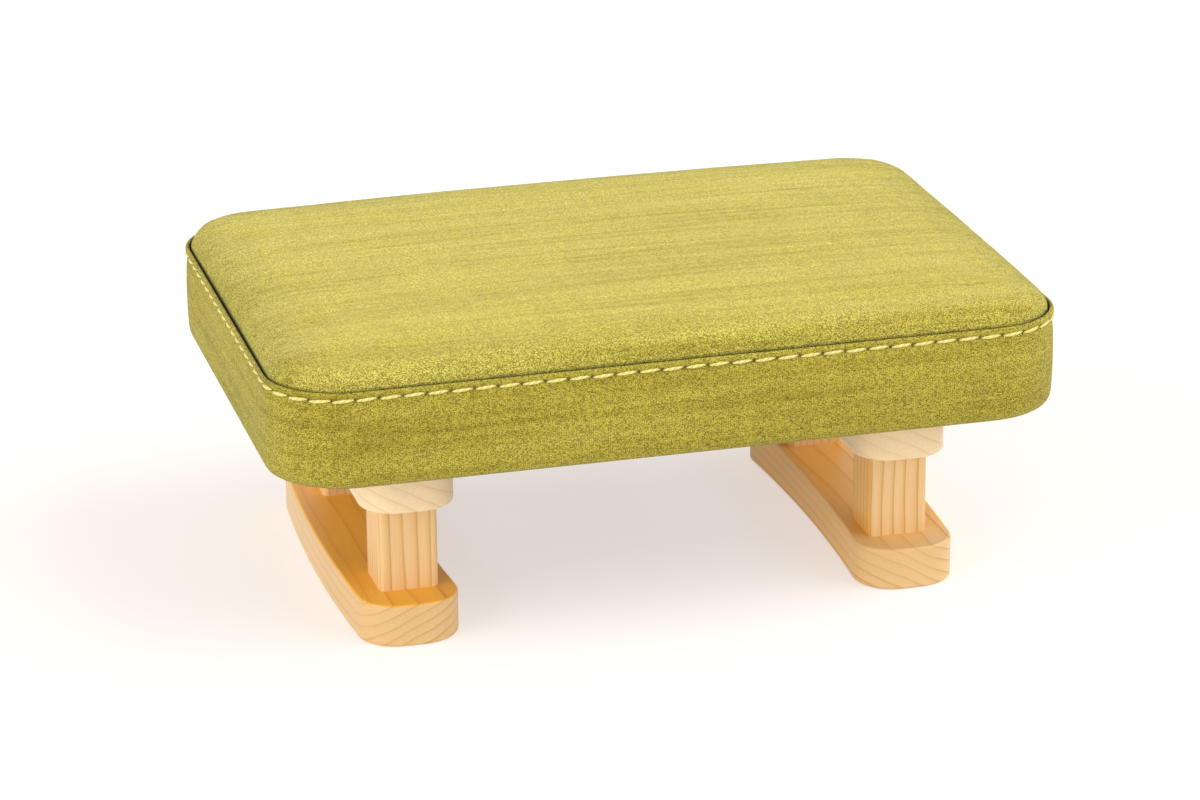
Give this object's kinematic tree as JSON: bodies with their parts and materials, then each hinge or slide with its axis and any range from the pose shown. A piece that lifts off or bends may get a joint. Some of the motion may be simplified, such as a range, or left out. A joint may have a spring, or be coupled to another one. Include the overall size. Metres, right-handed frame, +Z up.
{
  "type": "footstool",
  "caption": "Low oblong footstool with a padded, topstitched cloth seat on pine leg frames of rails, square posts and bowed runners.",
  "frame": {"origin": "on the floor under the middle of the seat", "axes": "+X along the seat's long side, to the right seen from the front; -Y is the front; +Z up"},
  "size_m": [0.4, 0.274, 0.1623],
  "materials": {
    "cover_cloth": "soft yellow-green linen weave",
    "foam": "open-cell foam",
    "dust_cloth": "black non-woven",
    "plywood": "raw birch plywood",
    "runner_pine": "clear satin lacquer",
    "post_pine": "clear satin lacquer",
    "rail_pine": "clear satin lacquer",
    "dowel_wood": "raw beech",
    "steel": "bright zinc"
  },
  "bodies": {
    "root": {"seat_board": "plywood", "foam_block": "foam", "cover_top": "cover_cloth", "cover_band": "cover_cloth", "dust_cover": "dust_cloth", "staples": "steel", "left_rail": "rail_pine", "right_rail": "rail_pine", "left_front_post": "post_pine", "left_rear_post": "post_pine", "right_front_post": "post_pine", "right_rear_post": "post_pine", "left_runner": "runner_pine", "right_runner": "runner_pine", "runner_dowels": "dowel_wood", "rail_dowels": "dowel_wood", "runner_screws": "steel", "rail_screws": "steel", "seat_bolts": "steel", "bolt_washers": "steel", "tee_nuts": "steel"}
  },
  "joints": []
}
